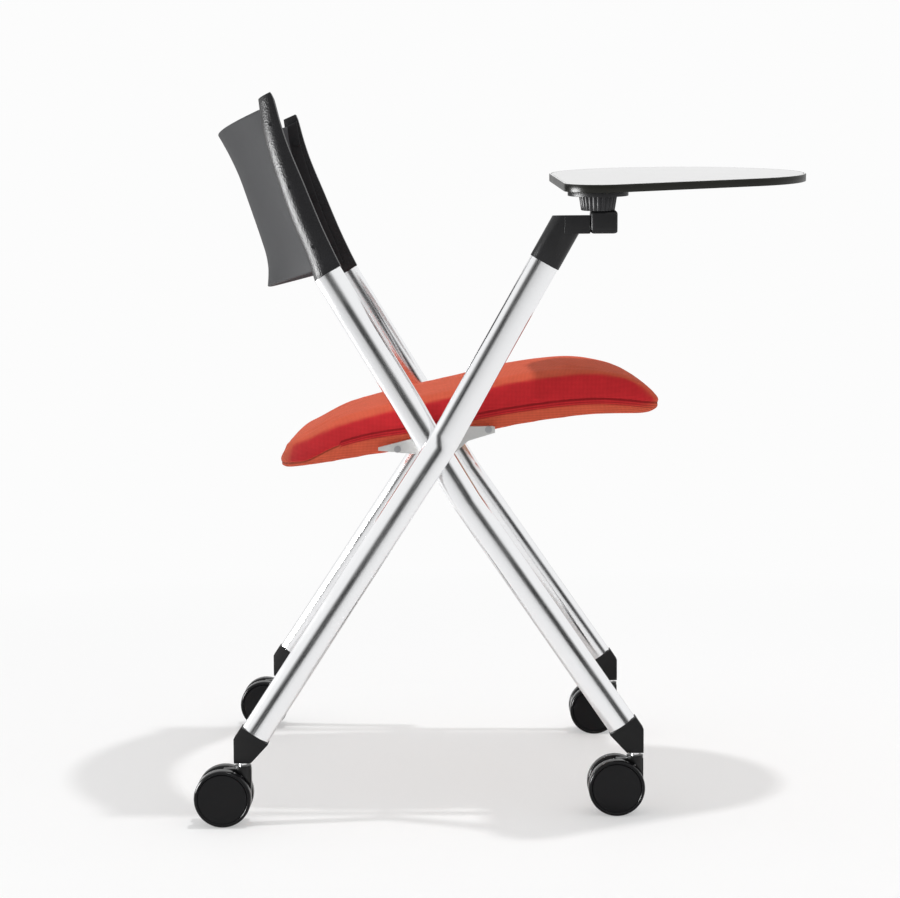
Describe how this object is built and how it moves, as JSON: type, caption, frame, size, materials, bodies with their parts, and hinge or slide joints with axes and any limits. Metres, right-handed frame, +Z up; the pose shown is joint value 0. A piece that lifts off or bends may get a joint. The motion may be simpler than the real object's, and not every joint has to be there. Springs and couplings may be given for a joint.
{
  "type": "nesting chair with writing tablet",
  "caption": "Nesting chair with crossed oval tubes, flip-up cushioned seat, curved back, twin-wheel casters and a folding writing tablet on one arm.",
  "frame": {"origin": "on the floor at the bottom middle of the whole chair's box, all eight wheels resting on Z = 0", "axes": "+X to the chair's front, +Z up; the arm and tablet are on the -Y side, the sitter's right"},
  "size_m": [0.721, 0.5817, 0.8312],
  "materials": {
    "polished_tube": "polished tube with soft streaks",
    "cast_metal": "fine cast, satin",
    "steel_fasteners": "plain steel",
    "bright_steel": "bright turned steel",
    "black_plastic": "fine texture, matt",
    "shell_plastic": "dark grey, matt",
    "grey_plastic": "moulded, matt",
    "caster_plastic": "moulded, satin",
    "wheel_plastic": "moulded, glossy",
    "white_laminate": "smooth white laminate",
    "edge_band": "black edge band",
    "cap_plastic": "light grey caps",
    "seat_fabric": "knitted orange-red cover over foam",
    "pan_wood": "plain plywood"
  },
  "bodies": {
    "frame": {"back_tube_right": "polished_tube", "back_tube_left": "polished_tube", "arm_tube_right": "polished_tube", "rear_leg_tube_left": "polished_tube", "rear_leg_plug_left": "cast_metal", "crossing_spacers": "steel_fasteners", "crossing_bolts": "steel_fasteners", "cross_tube": "polished_tube", "seat_stop_pins": "steel_fasteners", "upright_right": "black_plastic", "upright_left": "black_plastic", "back_shell": "shell_plastic", "shell_screws": "steel_fasteners", "leg_cap_rear_right": "black_plastic", "leg_cap_rear_left": "black_plastic", "leg_cap_front_right": "black_plastic", "leg_cap_front_left": "black_plastic", "arm_sleeve": "black_plastic", "fold_pin": "steel_fasteners"},
    "seat": {"seat_cushion": "seat_fabric", "seat_pan": "pan_wood", "seat_bracket_right": "cast_metal", "seat_bracket_left": "cast_metal", "bracket_screws": "steel_fasteners"},
    "tablet_fold_head": {"tablet_knuckle": "black_plastic", "ribbed_hub": "grey_plastic"},
    "tablet": {"swivel_spindle": "steel_fasteners", "mounting_plate": "black_plastic", "plate_screws": "steel_fasteners", "tablet_board": "white_laminate", "tablet_edge_band": "edge_band", "tablet_screw_caps": "cap_plastic"},
    "caster_rear_right": {"caster_stem_rear_right": "bright_steel", "caster_body_rear_right": "caster_plastic", "caster_axle_rear_right": "bright_steel"},
    "wheel_rear_right_outer": {"wheel_rear_right_outer": "wheel_plastic"},
    "wheel_rear_right_inner": {"wheel_rear_right_inner": "wheel_plastic"},
    "caster_rear_left": {"caster_stem_rear_left": "bright_steel", "caster_body_rear_left": "caster_plastic", "caster_axle_rear_left": "bright_steel"},
    "wheel_rear_left_outer": {"wheel_rear_left_outer": "wheel_plastic"},
    "wheel_rear_left_inner": {"wheel_rear_left_inner": "wheel_plastic"},
    "caster_front_right": {"caster_stem_front_right": "bright_steel", "caster_body_front_right": "caster_plastic", "caster_axle_front_right": "bright_steel"},
    "wheel_front_right_outer": {"wheel_front_right_outer": "wheel_plastic"},
    "wheel_front_right_inner": {"wheel_front_right_inner": "wheel_plastic"},
    "caster_front_left": {"caster_stem_front_left": "bright_steel", "caster_body_front_left": "caster_plastic", "caster_axle_front_left": "bright_steel"},
    "wheel_front_left_outer": {"wheel_front_left_outer": "wheel_plastic"},
    "wheel_front_left_inner": {"wheel_front_left_inner": "wheel_plastic"}
  },
  "joints": [
    {"name": "seat_flip", "type": "hinge", "parent": "frame", "child": "seat", "pos_m": [-0.0835, 0, 0.406], "axis": [0, -1, 0], "range_deg": [0, 75]},
    {"name": "tablet_fold", "type": "hinge", "parent": "frame", "child": "tablet_fold_head", "pos_m": [0.09938, -0.25056, 0.675], "axis": [1, 0, 0], "range_deg": [0, 84.8]},
    {"name": "tablet_swivel", "type": "hinge", "parent": "tablet_fold_head", "child": "tablet", "pos_m": [0.09938, -0.25056, 0.675], "axis": [0, -0.0906, 0.9959], "range_deg": [-162, 0]},
    {"name": "caster_swivel_rear_right", "type": "hinge", "parent": "frame", "child": "caster_rear_right", "pos_m": [-0.30573, -0.26544, 0.07], "axis": [0, 0, 1], "continuous": true},
    {"name": "wheel_spin_rear_right_outer", "type": "hinge", "parent": "caster_rear_right", "child": "wheel_rear_right_outer", "pos_m": [-0.32773, -0.26544, 0.0325], "axis": [0, 1, 0], "continuous": true},
    {"name": "wheel_spin_rear_right_inner", "type": "hinge", "parent": "caster_rear_right", "child": "wheel_rear_right_inner", "pos_m": [-0.32773, -0.26544, 0.0325], "axis": [0, 1, 0], "continuous": true},
    {"name": "caster_swivel_rear_left", "type": "hinge", "parent": "frame", "child": "caster_rear_left", "pos_m": [-0.30573, 0.26544, 0.07], "axis": [0, 0, 1], "continuous": true},
    {"name": "wheel_spin_rear_left_outer", "type": "hinge", "parent": "caster_rear_left", "child": "wheel_rear_left_outer", "pos_m": [-0.32773, 0.26544, 0.0325], "axis": [0, 1, 0], "continuous": true},
    {"name": "wheel_spin_rear_left_inner", "type": "hinge", "parent": "caster_rear_left", "child": "wheel_rear_left_inner", "pos_m": [-0.32773, 0.26544, 0.0325], "axis": [0, 1, 0], "continuous": true},
    {"name": "caster_swivel_front_right", "type": "hinge", "parent": "frame", "child": "caster_front_right", "pos_m": [0.14367, -0.22145, 0.07], "axis": [0, 0, 1], "continuous": true},
    {"name": "wheel_spin_front_right_outer", "type": "hinge", "parent": "caster_front_right", "child": "wheel_front_right_outer", "pos_m": [0.12167, -0.22145, 0.0325], "axis": [0, 1, 0], "continuous": true},
    {"name": "wheel_spin_front_right_inner", "type": "hinge", "parent": "caster_front_right", "child": "wheel_front_right_inner", "pos_m": [0.12167, -0.22145, 0.0325], "axis": [0, 1, 0], "continuous": true},
    {"name": "caster_swivel_front_left", "type": "hinge", "parent": "frame", "child": "caster_front_left", "pos_m": [0.14367, 0.22145, 0.07], "axis": [0, 0, 1], "continuous": true},
    {"name": "wheel_spin_front_left_outer", "type": "hinge", "parent": "caster_front_left", "child": "wheel_front_left_outer", "pos_m": [0.12167, 0.22145, 0.0325], "axis": [0, 1, 0], "continuous": true},
    {"name": "wheel_spin_front_left_inner", "type": "hinge", "parent": "caster_front_left", "child": "wheel_front_left_inner", "pos_m": [0.12167, 0.22145, 0.0325], "axis": [0, 1, 0], "continuous": true}
  ]
}
